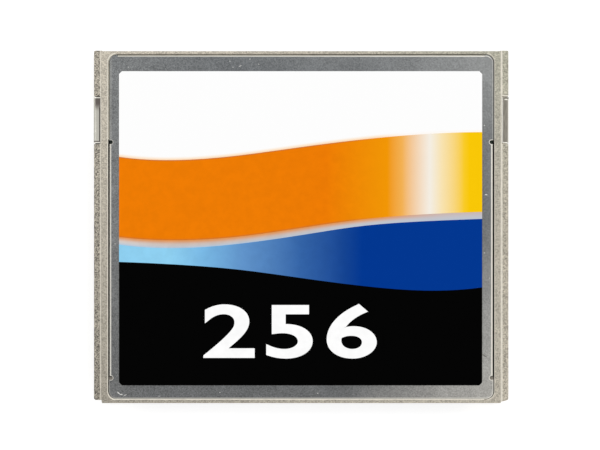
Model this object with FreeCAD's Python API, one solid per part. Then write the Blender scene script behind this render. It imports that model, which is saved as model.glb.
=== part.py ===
import FreeCAD, Part
import math
import os

# A compact flash card: a moulded frame, two stamped steel covers, a fifty-way socket
# connector on a loaded board, and a printed label on the upper cover.
# Millimetres. X runs across the card, Y from the connector end to the finger end,
# Z up. The origin is under the middle of the card. The connector end is at -Y.

# Card
card_width = 42.80
card_length = 36.40
card_thickness = 3.30

# Frame
rail_width = 0.66            # outer rail, seen from above
rail_drop = 0.15             # rail faces lie this far inside the card's two faces
rim_side = 1.46              # card's side to the opening for a cover
rim_front = 0.43
rim_back = 0.38
rim_bevel = 0.07             # broken edge round the opening
nose_setback = 0.32          # rails stop short of the connector end
nose_step = 0.80             # width of that step at each side
nose_slope = 0.20            # the right rail's end runs off at a slope
rail_overrun = 0.06          # rails pass the finger end of the strips beside them
rail_corner_radius = 0.22
tail_corner_radius = 0.12
back_wall = 1.30
rear_ledge = 0.60            # ledge beside the board, behind the side flanges
finger_groove_width = 24.0
finger_groove_height = 0.76
finger_groove_depth = 0.32

# Guide grooves in the two sides, of unequal height so that the card goes in one way
groove_length = 25.78
groove_depth = 1.00
left_groove_height = 1.60
right_groove_height = 0.99
groove_flare = 0.25          # the mouths open out by this much at the connector end
groove_flare_length = 0.80

# Stamped covers
sheet = 0.15
cover_drop = 0.12            # cover's outer face lies this far below the frame's rim
cover_side_gap = 0.10
cover_front_gap = 0.03
cover_back_gap = 0.05
cover_front_radius = 0.72
cover_back_radius = 0.78
bend_radius = 0.06           # inside the bend
flange_drop = 0.95           # from the cover's outer face to the flange's edge
relief_from_front = 2.60     # centres of the bend reliefs, from the card's two ends
relief_from_back = 9.45
relief_radius = 0.20
relief_depth = 0.38
flange_slot_room = 0.06      # free width and depth in the slot of the back flange
flange_end_gap = 0.04        # from a side flange's ends to the frame's ledges
back_flange_inset = 0.05     # beyond the corner radius, at each end of the back flange

# Catches: wedges on the frame's walls snap into windows in the side flanges
catch_count = 3
catch_pitch = 8.0
catch_length = 1.40
catch_height = 0.26
catch_reach = 0.22
catch_below_face = 0.55      # cover's outer face to the catch's ledge
catch_room = 0.08

# Ears of the lower cover, which wrap the rails
ear_length = 4.75
ear_past_relief = 0.10       # the ear starts this far before the upper cover's rear reliefs
ear_proud = 0.05
ear_return = 0.68            # over the top of the rail
ear_bend_radius = 0.16
ear_end_gap = 0.10
ear_tip_gap = 0.03
ear_gap = 0.02

# Label and its print
label_thickness = 0.08
label_left_margin = 1.03     # from the cover's edges
label_right_margin = 1.155
label_front_margin = 1.375
label_back_margin = 1.70
label_corner_cut = 0.30
ink = 0.03
# Heights of the curved borders at even stations across the label, as shares of its length
orange_top = (0.727, 0.717, 0.732, 0.758, 0.782, 0.799, 0.806)
orange_bottom = (0.472, 0.462, 0.474, 0.501, 0.528, 0.544, 0.552)
blue_top = (0.448, 0.437, 0.451, 0.478, 0.507, 0.522, 0.530)
black_top = (0.393, 0.384, 0.368, 0.342, 0.317, 0.302, 0.312)

# Connector: two rows of ways, as many in a row as its width has room for
contact_pitch = 1.27
corner_block = 4.21          # card's side to the pocket for the connector
housing_depth = 5.60
housing_recess = 0.05
housing_gap = 0.05
housing_cover_gap = 0.08
end_wall = 1.80              # at least this much beyond the middle of the last contact
entry_wall = 0.45
entry_mouth = 0.88
entry_throat = 0.58
tunnel_width = 0.62
tunnel_roof = 0.28
lug_side_gap = 1.06          # lugs that bear on the frame's corner blocks
lug_depth = 2.40
lug_height = 1.30
lug_gap = 0.02
contact_width = 0.50
contact_thickness = 0.16
contact_tip_gap = 0.10
contact_ramp = 0.80
contact_lift = 0.12
contact_tail = 1.10          # on the board

# Board
board_thickness = 0.50
board_gap = 0.10
board_slot_gap = 0.03
board_corner_cut = 0.50

# Insulating film stuck inside each cover
film = 0.05
film_margin = 0.30

# Chips, with leads that slope down to the board and end in a foot
lead_thickness = 0.12
lead_foot = 0.40
chip_standoff = 0.05
chip_film_gap = 0.08         # from a chip's top to the film
chip_draft = 0.08

flash_body_width = 12.0
flash_body_length = 18.4
flash_lead_reach = 0.80
flash_leads_per_end = 24
flash_lead_inset = 0.25      # body's side to the middle of the first lead
flash_lead_width = 0.22
flash_back_margin = 1.20     # from the board's rear edge to the toes of the leads
upper_flash_side_margin = 3.10
lower_flash_side_margin = 5.70

controller_body = 7.0
controller_lead_reach = 1.0
controller_leads_per_side = 12
controller_lead_inset = 0.75
controller_lead_width = 0.22

regulator_width = 2.9
regulator_length = 1.6
regulator_film_gap = 0.13
regulator_lead_reach = 0.60
regulator_lead_width = 0.40
regulator_lead_pitch = 0.95

crystal_width = 5.0
crystal_length = 3.2
crystal_film_gap = 0.20
crystal_radius = 0.45
crystal_base = 0.25
crystal_base_margin = 0.20

capacitor_size = (1.6, 0.8, 0.75)
capacitor_cap = 0.30
resistor_size = (1.0, 0.5, 0.35)
resistor_cap = 0.22

# Places on the board's upper face, from its left edge and its front edge
controller_seat = (12.0, 9.0)
crystal_seat = (6.2, 19.6)
regulator_seat = (13.6, 20.4)
capacitor_seats = (
    (3.5, 3.0), (6.5, 3.0), (5.0, 6.8), (5.0, 9.0), (5.0, 11.2),
    (9.6, 15.6), (12.6, 15.6), (15.6, 15.6), (10.4, 19.0), (10.4, 20.4),
)
resistor_seats = (
    (9.0, 2.8), (10.7, 2.8), (12.4, 2.8), (14.1, 2.8), (3.4, 14.2), (5.1, 14.2), (3.4, 15.6), (5.1, 15.6),
)

# Places that follow from the dimensions above
half_width = card_width / 2
front_y = -card_length / 2
back_y = card_length / 2
mid_z = card_thickness / 2
over_cut = 1.0               # how far a cutting tool passes a face

opening_half = half_width - rim_side
opening_front_y = front_y + rim_front
opening_back_y = back_y - rim_back
cover_half = opening_half - cover_side_gap
cover_front_y = opening_front_y + cover_front_gap
cover_back_y = opening_back_y - cover_back_gap
cover_outer_z = card_thickness - cover_drop
cover_inner_z = cover_outer_z - sheet
bend_outer_radius = bend_radius + sheet
relief_front_y = front_y + relief_from_front
relief_back_y = back_y - relief_from_back
front_ledge_y = relief_front_y + relief_radius - flange_end_gap
rear_ledge_y = relief_back_y + relief_radius
wall_inner_y = back_y - back_wall
back_flange_half = cover_half - cover_back_radius - back_flange_inset

board_top_z = mid_z + board_thickness / 2
pocket_half = half_width - corner_block
housing_half = pocket_half - housing_gap
housing_top_z = cover_inner_z - housing_cover_gap
housing_front_y = front_y + housing_recess
housing_back_y = housing_front_y + housing_depth
contact_count = 1 + math.floor(2 * (housing_half - end_wall) / contact_pitch)
tunnel_top_z = housing_top_z - tunnel_roof
row_z = (board_top_z + tunnel_top_z) / 2

board_front_y = housing_back_y + board_gap
board_back_y = wall_inner_y - board_gap
board_half = opening_half - board_gap
film_z = cover_inner_z - film
chip_height = film_z - chip_film_gap - chip_standoff - board_top_z
regulator_height = film_z - regulator_film_gap - chip_standoff - board_top_z
crystal_height = film_z - crystal_film_gap - board_top_z
flash_lead_pitch = (flash_body_width - 2 * flash_lead_inset) / (flash_leads_per_end - 1)
controller_lead_pitch = (controller_body - 2 * controller_lead_inset) / (controller_leads_per_side - 1)
flash_y = board_back_y - flash_back_margin - flash_lead_reach - flash_body_length / 2
upper_flash_place = (board_half - upper_flash_side_margin - flash_body_width / 2, flash_y)
lower_flash_place = (lower_flash_side_margin + flash_body_width / 2 - board_half, flash_y)

label_left = label_left_margin - cover_half
label_right = cover_half - label_right_margin
label_bottom = cover_front_y + label_front_margin
label_top = cover_back_y - label_back_margin
label_face_z = cover_outer_z + label_thickness

ear_outer_x = half_width + ear_proud
ear_start_y = relief_back_y - ear_past_relief
rail_top_z = card_thickness - rail_drop


def V(x, y, z):
    return FreeCAD.Vector(x, y, z)


def on_xy(z):
    return lambda u, v: V(u, v, z)


def on_xz(y):
    return lambda u, v: V(u, y, v)


def on_yz(x):
    return lambda u, v: V(x, u, v)


def rounded_wire(corners, at):
    """Closed wire through corners (u, v, radius), each rounded to its own radius."""
    count = len(corners)
    turns = []
    for i, (u, v, radius) in enumerate(corners):
        here = V(u, v, 0)
        before = V(corners[i - 1][0], corners[i - 1][1], 0) - here
        after = V(corners[(i + 1) % count][0], corners[(i + 1) % count][1], 0) - here
        before.normalize()
        after.normalize()
        half_angle = before.getAngle(after) / 2
        reach = radius / math.tan(half_angle)
        middle = here
        if radius > 0:
            bisector = before + after
            bisector.normalize()
            middle = here + bisector * (radius / math.sin(half_angle) - radius)
        turns.append((here + before * reach, middle, here + after * reach, radius))
    edges = []
    for i, (start, middle, end, radius) in enumerate(turns):
        if radius > 0:
            edges.append(Part.Arc(*(at(p.x, p.y) for p in (start, middle, end))).toShape())
        following = turns[(i + 1) % count][0]
        if end.distanceToPoint(following) > 1e-7:
            edges.append(Part.LineSegment(at(end.x, end.y), at(following.x, following.y)).toShape())
    return Part.Wire(edges)


def prism(corners, at, along):
    return Part.Face(rounded_wire(corners, at)).extrude(along)


def block(x, y, z):
    """Box between the pairs of limits x, y and z."""
    return Part.makeBox(x[1] - x[0], y[1] - y[0], z[1] - z[0], V(x[0], y[0], z[0]))


def plain(points):
    return [(u, v, 0) for u, v in points]


def fused(solids):
    whole = solids[0].multiFuse(solids[1:]) if len(solids) > 1 else solids[0]
    return whole.removeSplitter()


def in_x(shape):
    return shape.mirror(V(0, 0, 0), V(1, 0, 0))


def in_z(shape):
    return shape.mirror(V(0, 0, mid_z), V(0, 0, 1))


def both_faces(shape):
    return [shape, in_z(shape)]


def cover_outline(grow, z):
    """Outline of a cover, larger by grow at the gaps round it."""
    left, right = -cover_half - grow * cover_side_gap, cover_half + grow * cover_side_gap
    front = cover_front_y - grow * cover_front_gap
    back = cover_back_y + grow * cover_back_gap
    front_r = cover_front_radius + grow * cover_side_gap
    back_r = cover_back_radius + grow * cover_side_gap
    corners = [(left, front, front_r), (right, front, front_r), (right, back, back_r), (left, back, back_r)]
    return corners, on_xy(z)


def frame_blank():
    """Section of the frame drawn along its length, then trimmed to its outline in plan."""
    strip = half_width - rail_width
    ridge = strip - rail_drop
    upper = [(-half_width, rail_top_z), (-strip, rail_top_z), (-ridge, card_thickness)]
    upper += [(-x, z) for x, z in reversed(upper)]
    lower = [(x, card_thickness - z) for x, z in reversed(upper)]
    drawn = prism(plain(upper + lower), on_xz(front_y), V(0, card_length, 0))
    nose = half_width - nose_step
    plan = [
        (-half_width, back_y, tail_corner_radius),
        (-half_width, front_y + nose_setback, rail_corner_radius),
        (-nose, front_y + nose_setback, 0),
        (-nose, front_y, tail_corner_radius),
        (nose, front_y, 0),
        (nose, front_y + nose_setback - nose_slope, 0),
        (half_width, front_y + nose_setback, rail_corner_radius),
        (half_width, back_y, tail_corner_radius),
        (ridge, back_y, 0),
        (ridge, back_y - rail_overrun, 0),
        (-ridge, back_y - rail_overrun, 0),
        (-ridge, back_y, 0),
    ]
    return drawn.common(prism(plan, on_xy(0), V(0, 0, card_thickness)))


def cover_seat():
    """Recess in the upper face for a cover, with a bevelled rim and a slot for the back flange."""
    recess = prism(*cover_outline(1, cover_inner_z), V(0, 0, card_thickness - cover_inner_z + over_cut))
    corners, _ = cover_outline(1, 0)
    wider = []
    for x, y, radius in corners:
        wider.append((x + math.copysign(rim_bevel, x), y + math.copysign(rim_bevel, y), radius + rim_bevel))
    foot = rounded_wire(corners, on_xy(card_thickness - rim_bevel))
    bevel = Part.makeLoft([foot, rounded_wire(wider, on_xy(card_thickness))], True, True)
    slot = block(
        (-back_flange_half - flange_slot_room, back_flange_half + flange_slot_room),
        (cover_back_y - bend_outer_radius - flange_slot_room, opening_back_y),
        (cover_outer_z - flange_drop - flange_slot_room, card_thickness - rim_bevel),
    )
    return fused([recess, bevel, slot])


def cavity():
    """The hollow between the covers: wide where the side flanges hang, narrower at the board's rear.

    The front reliefs lie over the front ledges, and the rear reliefs over the hollow.
    """
    rear = opening_half - rear_ledge
    side = [
        (pocket_half, opening_front_y), (pocket_half, front_ledge_y), (opening_half, front_ledge_y),
        (opening_half, rear_ledge_y), (rear, rear_ledge_y), (rear, wall_inner_y),
    ]
    outline = side + [(-x, y) for x, y in reversed(side)]
    return prism(plain(outline), on_xy(-over_cut), V(0, 0, card_thickness + 2 * over_cut))


def connector_window():
    half_height = housing_top_z + housing_gap - mid_z
    return block(
        (-pocket_half, pocket_half), (front_y - over_cut, opening_front_y),
        (mid_z - half_height, mid_z + half_height),
    )


def guide_groove(height):
    """Groove of the left side, with a mouth that opens out at the connector end."""
    end_y = front_y + groove_length
    depth = (-half_width - over_cut, -half_width + groove_depth)
    channel = block(depth, (front_y - over_cut, end_y), (mid_z - height / 2, mid_z + height / 2))
    mouth_y = front_y + nose_setback
    wide, narrow = height / 2 + groove_flare, height / 2
    flare = [
        (mouth_y - over_cut, mid_z - wide), (mouth_y, mid_z - wide),
        (mouth_y + groove_flare_length, mid_z - narrow), (mouth_y + groove_flare_length, mid_z + narrow),
        (mouth_y, mid_z + wide), (mouth_y - over_cut, mid_z + wide),
    ]
    mouth = prism(plain(flare), on_yz(depth[0]), V(depth[1] - depth[0], 0, 0))
    return channel.fuse(mouth)


def board_slot():
    """Slot in the left rear ledge that takes the board's edge."""
    half_slot = board_thickness / 2 + board_slot_gap
    return block(
        (-opening_half, -opening_half + rear_ledge),
        (rear_ledge_y, wall_inner_y),
        (mid_z - half_slot, mid_z + half_slot),
    )


def ear_room():
    """Room for the left ear round the rail: under it, beside it and over it."""
    core_x = ear_outer_x - sheet - ear_gap
    low = cover_drop + sheet + ear_gap
    high = rail_top_z - sheet - ear_gap
    end_x = ear_outer_x - ear_return - ear_tip_gap
    radius = ear_bend_radius - ear_gap
    far = half_width + over_cut
    corners = [
        (-cover_half, -over_cut, 0), (-far, -over_cut, 0), (-far, card_thickness + over_cut, 0),
        (-end_x, card_thickness + over_cut, 0), (-end_x, high, 0),
        (-core_x, high, radius), (-core_x, low, radius), (-cover_half, low, 0),
    ]
    return prism(corners, on_xz(ear_start_y - ear_end_gap), V(0, ear_length + 2 * ear_end_gap, 0))


def finger_groove():
    """Shallow round-bottomed groove along the finger end."""
    chord, depth = finger_groove_height / 2, finger_groove_depth
    radius = (chord ** 2 + depth ** 2) / (2 * depth)
    face_y = back_y - rail_overrun
    return Part.makeCylinder(
        radius, finger_groove_width, V(-finger_groove_width / 2, face_y - depth + radius, mid_z), V(1, 0, 0)
    )


def catch_centres():
    middle = (relief_front_y + relief_back_y) / 2
    return [middle + (i - (catch_count - 1) / 2) * catch_pitch for i in range(catch_count)]


def catches():
    """Wedges on the left wall, flat above and sloped below, for the upper cover."""
    ledge_z = cover_outer_z - catch_below_face
    wall = -opening_half
    wedge = plain([(wall, ledge_z), (wall + catch_reach, ledge_z), (wall, ledge_z - catch_height)])
    return [prism(wedge, on_xz(y - catch_length / 2), V(0, catch_length, 0)) for y in catch_centres()]


def make_frame():
    frame = frame_blank()
    cuts = both_faces(cover_seat())
    cuts += [cavity(), connector_window(), guide_groove(left_groove_height)]
    cuts += [in_x(guide_groove(right_groove_height)), board_slot(), in_x(board_slot())]
    cuts += [ear_room(), in_x(ear_room()), finger_groove()]
    frame = frame.cut(cuts)
    left = [c for wedge in catches() for c in both_faces(wedge)]
    return fused([frame] + left + [in_x(c) for c in left])


def flange_section(edge, back):
    """Bent edge of a cover in section: edge is its outer face, back where the flat part ends."""
    top, low = cover_outer_z, cover_outer_z - flange_drop
    return [
        (back, top, 0), (edge, top, bend_outer_radius), (edge, low, 0),
        (edge - sheet, low, 0), (edge - sheet, top - sheet, bend_radius), (back, top - sheet, 0),
    ]


def side_flange(rear_relief_y):
    """Right side flange between the two bend reliefs, with the windows for the catches."""
    start, end = relief_front_y + relief_radius, rear_relief_y - relief_radius
    section = flange_section(cover_half, cover_half - bend_outer_radius)
    flange = prism(section, on_xz(start), V(0, end - start, 0))
    ledge_z = cover_outer_z - catch_below_face
    for y in catch_centres():
        flange = flange.cut(block(
            (cover_half - sheet - over_cut, cover_half + over_cut),
            (y - catch_length / 2 - catch_room, y + catch_length / 2 + catch_room),
            (ledge_z - catch_height - catch_room, ledge_z + catch_room),
        ))
    return flange


def back_flange():
    section = flange_section(cover_back_y, cover_back_y - bend_outer_radius)
    return prism(section, on_yz(-back_flange_half), V(2 * back_flange_half, 0, 0))


def relief(y):
    """Bend relief in the right edge of a cover: a slot with a round end."""
    centre_x = cover_half - relief_depth + relief_radius
    height = sheet + bend_outer_radius + 2 * over_cut
    low = cover_inner_z - over_cut
    drilled = Part.makeCylinder(relief_radius, height, V(centre_x, y, low))
    sawn = block(
        (centre_x, cover_half + over_cut), (y - relief_radius, y + relief_radius), (low, low + height)
    )
    return drilled.fuse(sawn)


def make_cover(rear_relief_y):
    """Cover the right way up for the card's upper face."""
    flat = prism(*cover_outline(0, cover_inner_z), V(0, 0, sheet))
    bend_zone = block(
        (cover_half - bend_outer_radius, cover_half + over_cut),
        (relief_front_y, rear_relief_y), (cover_inner_z - over_cut, cover_outer_z + over_cut),
    )
    back_zone = block(
        (-back_flange_half, back_flange_half), (cover_back_y - bend_outer_radius, cover_back_y + over_cut),
        (cover_inner_z - over_cut, cover_outer_z + over_cut),
    )
    cuts = [bend_zone, relief(relief_front_y), relief(rear_relief_y)]
    flat = flat.cut(cuts + [in_x(c) for c in cuts] + [back_zone])
    flange = side_flange(rear_relief_y)
    return fused([flat, flange, in_x(flange), back_flange()])


def ear():
    """Left ear: out under the rail, up its side and over its top."""
    inner_x = ear_outer_x - sheet
    low, high = cover_drop, rail_top_z
    root_x = -cover_half + bend_outer_radius
    tip_x = -ear_outer_x + ear_return
    outer_r = ear_bend_radius + sheet
    corners = [
        (root_x, low, 0), (-ear_outer_x, low, outer_r), (-ear_outer_x, high, outer_r), (tip_x, high, 0),
        (tip_x, high - sheet, 0), (-inner_x, high - sheet, ear_bend_radius),
        (-inner_x, low + sheet, ear_bend_radius), (root_x, low + sheet, 0),
    ]
    return prism(corners, on_xz(ear_start_y), V(0, ear_length, 0))


def make_lower_cover():
    """The same cover turned over. Its rear reliefs lie beside the ears, so that both can be bent."""
    cover = in_z(make_cover(ear_start_y - relief_radius))
    return fused([cover, ear(), in_x(ear())])


def label_outline():
    cut = label_corner_cut
    return [
        (label_left, label_bottom + cut), (label_left + cut, label_bottom),
        (label_right - cut, label_bottom), (label_right, label_bottom + cut),
        (label_right, label_top - cut), (label_right - cut, label_top),
        (label_left + cut, label_top), (label_left, label_top - cut),
    ]


def make_label():
    return prism(plain(label_outline()), on_xy(cover_outer_z), V(0, 0, label_thickness))


def border(shares):
    """Curved border of the print, from the label's left edge to its right."""
    step = (label_right - label_left) / (len(shares) - 1)
    length = label_top - label_bottom
    heights = [label_bottom + share * length for share in shares]
    curve = Part.BSplineCurve()
    curve.interpolate([V(label_left + i * step, y, label_face_z) for i, y in enumerate(heights)])
    return curve.toShape()


def print_field(upper, lower):
    """Layer of ink between two borders, or from a border down to the label's lower edge."""
    top = border(upper)
    start, end = top.firstVertex().Point, top.lastVertex().Point
    edges = [top]
    if lower:
        bottom = border(lower)
        low_start, low_end = bottom.firstVertex().Point, bottom.lastVertex().Point
        edges += [bottom, Part.makeLine(start, low_start), Part.makeLine(end, low_end)]
    else:
        corners = [V(x, y, label_face_z) for x, y in label_outline()[:4]]
        edges += Part.makePolygon([start] + corners + [end]).Edges
    return Part.Face(Part.Wire(Part.__sortEdges__(edges))).extrude(V(0, 0, ink))


def contact_xs():
    return [(i - (contact_count - 1) / 2) * contact_pitch for i in range(contact_count)]


def socket_way(x):
    """One upper way of the connector: a square funnel through the front wall and a tunnel behind it."""
    wall_y = housing_front_y + entry_wall
    mouth, throat = entry_mouth / 2, entry_throat / 2
    funnel = Part.makeWedge(
        x - mouth, housing_front_y, row_z - mouth, row_z - throat, x - throat,
        x + mouth, wall_y, row_z + mouth, row_z + throat, x + throat,
    )
    tunnel = block(
        (x - tunnel_width / 2, x + tunnel_width / 2), (wall_y, housing_back_y), (board_top_z, tunnel_top_z)
    )
    return [funnel, tunnel]


def make_connector_housing():
    """Block with two rows of ways and a lug at each end that bears on the frame."""
    half_height = housing_top_z - mid_z
    body = block(
        (-housing_half, housing_half), (housing_front_y, housing_back_y),
        (mid_z - half_height, mid_z + half_height),
    )
    lug_y = front_ledge_y + lug_gap
    lug = block(
        (housing_half, opening_half - lug_side_gap), (lug_y, lug_y + lug_depth),
        (mid_z - lug_height / 2, mid_z + lug_height / 2),
    )
    ways = [tool for x in contact_xs() for way in socket_way(x) for tool in both_faces(way)]
    return fused([body, lug, in_x(lug)]).cut(ways)


def make_contacts():
    """Upper row: leaves that lie on the tunnels' floors, lift at the tip and run out over the board."""
    floor = board_top_z
    tip_y = housing_front_y + entry_wall + contact_tip_gap
    ramp_y = tip_y + contact_ramp
    tail_y = board_front_y + contact_tail
    side = [
        (tip_y, floor + contact_lift), (ramp_y, floor), (tail_y, floor),
        (tail_y, floor + contact_thickness), (ramp_y, floor + contact_thickness),
        (tip_y, floor + contact_lift + contact_thickness),
    ]
    half = contact_width / 2
    leaves = [prism(plain(side), on_yz(x - half), V(contact_width, 0, 0)) for x in contact_xs()]
    return Part.makeCompound(leaves)


def make_board():
    cut = board_corner_cut
    corners = [
        (-board_half, board_front_y + cut), (-board_half + cut, board_front_y),
        (board_half - cut, board_front_y), (board_half, board_front_y + cut),
        (board_half, board_back_y - cut), (board_half - cut, board_back_y),
        (-board_half + cut, board_back_y), (-board_half, board_back_y - cut),
    ]
    return prism(plain(corners), on_xy(mid_z - board_thickness / 2), V(0, 0, board_thickness))


def chip_body(place, width, length, height):
    """Moulded package, tapered above and below the band where its leads come out."""
    x, y = place
    foot = board_top_z + chip_standoff
    band = foot + (height - lead_thickness) / 2
    levels = ((foot, chip_draft), (band, 0), (band + lead_thickness, 0), (foot + height, chip_draft))
    rings = []
    for z, inset in levels:
        half_x, half_y = width / 2 - inset, length / 2 - inset
        ring = [
            (x - half_x, y - half_y), (x + half_x, y - half_y), (x + half_x, y + half_y), (x - half_x, y + half_y),
        ]
        rings.append(rounded_wire(plain(ring), on_xy(z)))
    return Part.makeLoft(rings, True, True)


def lead(place, reach, height, width):
    """Lead that leaves a package at +Y of place, slopes down to the board and ends in a foot."""
    exit_z = board_top_z + chip_standoff + (height - lead_thickness) / 2
    y = place[1]
    ankle, toe = y + reach - lead_foot, y + reach
    side = [
        (y, exit_z + lead_thickness), (ankle, board_top_z + lead_thickness),
        (toe, board_top_z + lead_thickness), (toe, board_top_z), (ankle - lead_thickness, board_top_z),
        (y, exit_z),
    ]
    return prism(plain(side), on_yz(place[0] - width / 2), V(width, 0, 0))


def lead_row(place, count, pitch, offset, reach, height, width):
    """Row of leads along the +Y side of a package that is centred on place."""
    xs = [place[0] + (i - (count - 1) / 2) * pitch for i in range(count)]
    return [lead((x, place[1] + offset), reach, height, width) for x in xs]


def turned(shapes, place, degrees):
    copies = []
    for shape in shapes:
        copy = shape.copy()
        copy.rotate(V(place[0], place[1], 0), V(0, 0, 1), degrees)
        copies.append(copy)
    return copies


def on_board(seat):
    """Place on the board from its left and front edges."""
    return seat[0] - board_half, board_front_y + seat[1]


def make_flash(place):
    """Memory chip in a thin package with leads at its two short ends."""
    body = chip_body(place, flash_body_width, flash_body_length, chip_height)
    row = lead_row(
        place, flash_leads_per_end, flash_lead_pitch, flash_body_length / 2,
        flash_lead_reach, chip_height, flash_lead_width,
    )
    return body, Part.makeCompound(row + turned(row, place, 180))


def make_controller():
    """Controller chip in a square package with leads on all four sides."""
    place, size = on_board(controller_seat), controller_body
    body = chip_body(place, size, size, chip_height)
    row = lead_row(
        place, controller_leads_per_side, controller_lead_pitch, size / 2,
        controller_lead_reach, chip_height, controller_lead_width,
    )
    rows = [lead for quarter in range(4) for lead in turned(row, place, 90 * quarter)]
    return body, Part.makeCompound(rows)


def make_regulator():
    """Small regulator: three leads on one long side and two on the other."""
    place = on_board(regulator_seat)
    body = chip_body(place, regulator_width, regulator_length, regulator_height)
    wing = (regulator_length / 2, regulator_lead_reach, regulator_height, regulator_lead_width)
    three = lead_row(place, 3, regulator_lead_pitch, *wing)
    two = lead_row(place, 2, 2 * regulator_lead_pitch, *wing)
    return body, Part.makeCompound(three + turned(two, place, 180))


def make_crystal():
    """Quartz crystal: a ceramic base under a drawn metal can with rounded corners."""
    x, y = on_board(crystal_seat)
    half_x, half_y = crystal_width / 2, crystal_length / 2
    base_top_z = board_top_z + crystal_base
    base = block((x - half_x, x + half_x), (y - half_y, y + half_y), (board_top_z, base_top_z))
    can_x, can_y = half_x - crystal_base_margin, half_y - crystal_base_margin
    corners = [
        (x - can_x, y - can_y, crystal_radius), (x + can_x, y - can_y, crystal_radius),
        (x + can_x, y + can_y, crystal_radius), (x - can_x, y + can_y, crystal_radius),
    ]
    can = prism(corners, on_xy(base_top_z), V(0, 0, crystal_height - crystal_base))
    return base, can


def chip_parts(seats, size, cap):
    """Bodies and end caps of two-terminal parts that lie along X on the board."""
    length, width, height = size
    bodies, caps = [], []
    for x, y in map(on_board, seats):
        depth, level = (y - width / 2, y + width / 2), (board_top_z, board_top_z + height)
        inner, outer = length / 2 - cap, length / 2
        bodies.append(block((x - inner, x + inner), depth, level))
        caps.append(block((x - outer, x - inner), depth, level))
        caps.append(block((x + inner, x + outer), depth, level))
    return Part.makeCompound(bodies), Part.makeCompound(caps)


def make_film():
    """Film inside the upper cover, over the board and clear of the flanges."""
    half = opening_half - rear_ledge - film_margin
    y = (board_front_y, wall_inner_y - film_margin)
    return block((-half, half), y, (film_z, cover_inner_z))


def main():
    upper_flash, upper_flash_leads = make_flash(upper_flash_place)
    lower_flash, lower_flash_leads = make_flash(lower_flash_place)
    controller, controller_leads = make_controller()
    regulator, regulator_leads = make_regulator()
    crystal_foot, crystal_can = make_crystal()
    capacitors, capacitor_caps = chip_parts(capacitor_seats, capacitor_size, capacitor_cap)
    resistors, resistor_caps = chip_parts(resistor_seats, resistor_size, resistor_cap)
    contacts = make_contacts()
    nodes = {
        "frame": make_frame(),
        "upper_cover": make_cover(relief_back_y),
        "lower_cover": make_lower_cover(),
        "label": make_label(),
        "print_orange_band": print_field(orange_top, orange_bottom),
        "print_silver_line": print_field(orange_bottom, blue_top),
        "print_blue_band": print_field(blue_top, black_top),
        "print_black_field": print_field(black_top, None),
        "connector_housing": make_connector_housing(),
        "upper_contacts": contacts,
        "lower_contacts": in_z(contacts),
        "circuit_board": make_board(),
        "upper_flash_chip": upper_flash,
        "upper_flash_leads": upper_flash_leads,
        "lower_flash_chip": in_z(lower_flash),
        "lower_flash_leads": in_z(lower_flash_leads),
        "controller_chip": controller,
        "controller_leads": controller_leads,
        "voltage_regulator": regulator,
        "regulator_leads": regulator_leads,
        "crystal_base": crystal_foot,
        "crystal_can": crystal_can,
        "capacitors": capacitors,
        "capacitor_caps": capacitor_caps,
        "resistors": resistors,
        "resistor_caps": resistor_caps,
        "upper_film": make_film(),
        "lower_film": in_z(make_film()),
    }
    for name, shape in nodes.items():
        shape.exportStep(f"parts/{name}.step")


os.makedirs("parts", exist_ok=True)
main()
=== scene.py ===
"""Dresses a compact flash card that lies label up on a pale floor, and sets up its studio."""

import bmesh
import bpy
from bpy.props import FloatProperty, FloatVectorProperty, PointerProperty, StringProperty
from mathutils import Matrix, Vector


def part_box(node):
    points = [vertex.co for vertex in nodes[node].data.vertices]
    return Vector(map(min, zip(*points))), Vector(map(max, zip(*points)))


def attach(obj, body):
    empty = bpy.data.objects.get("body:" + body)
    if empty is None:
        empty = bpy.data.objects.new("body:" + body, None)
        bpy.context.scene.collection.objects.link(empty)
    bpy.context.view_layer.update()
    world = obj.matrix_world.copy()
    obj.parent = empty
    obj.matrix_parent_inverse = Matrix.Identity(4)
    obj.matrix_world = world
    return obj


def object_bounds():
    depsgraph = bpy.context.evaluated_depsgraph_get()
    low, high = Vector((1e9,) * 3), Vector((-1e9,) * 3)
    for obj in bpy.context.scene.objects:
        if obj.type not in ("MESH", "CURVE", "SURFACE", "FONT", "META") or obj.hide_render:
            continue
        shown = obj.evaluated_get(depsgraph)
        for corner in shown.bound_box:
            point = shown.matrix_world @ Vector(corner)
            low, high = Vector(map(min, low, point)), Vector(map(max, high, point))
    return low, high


bl_info = {
    "name": "Compact Flash Card",
    "version": (1, 0, 0),
    "blender": (4, 5, 0),
    "location": "3D View > Sidebar > Card",
    "description": "Dresses a compact flash card with its moulding, steel covers, printed label and wear",
    "category": "Object",
}

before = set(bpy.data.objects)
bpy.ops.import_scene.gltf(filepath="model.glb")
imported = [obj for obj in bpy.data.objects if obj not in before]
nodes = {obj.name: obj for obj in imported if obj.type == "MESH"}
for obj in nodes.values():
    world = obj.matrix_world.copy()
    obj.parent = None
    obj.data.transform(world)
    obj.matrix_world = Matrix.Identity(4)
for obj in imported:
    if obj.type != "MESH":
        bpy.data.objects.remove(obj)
cad_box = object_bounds()
MM = 0.001
ORIGIN = (0.0, 0.0, 0.0)

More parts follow.
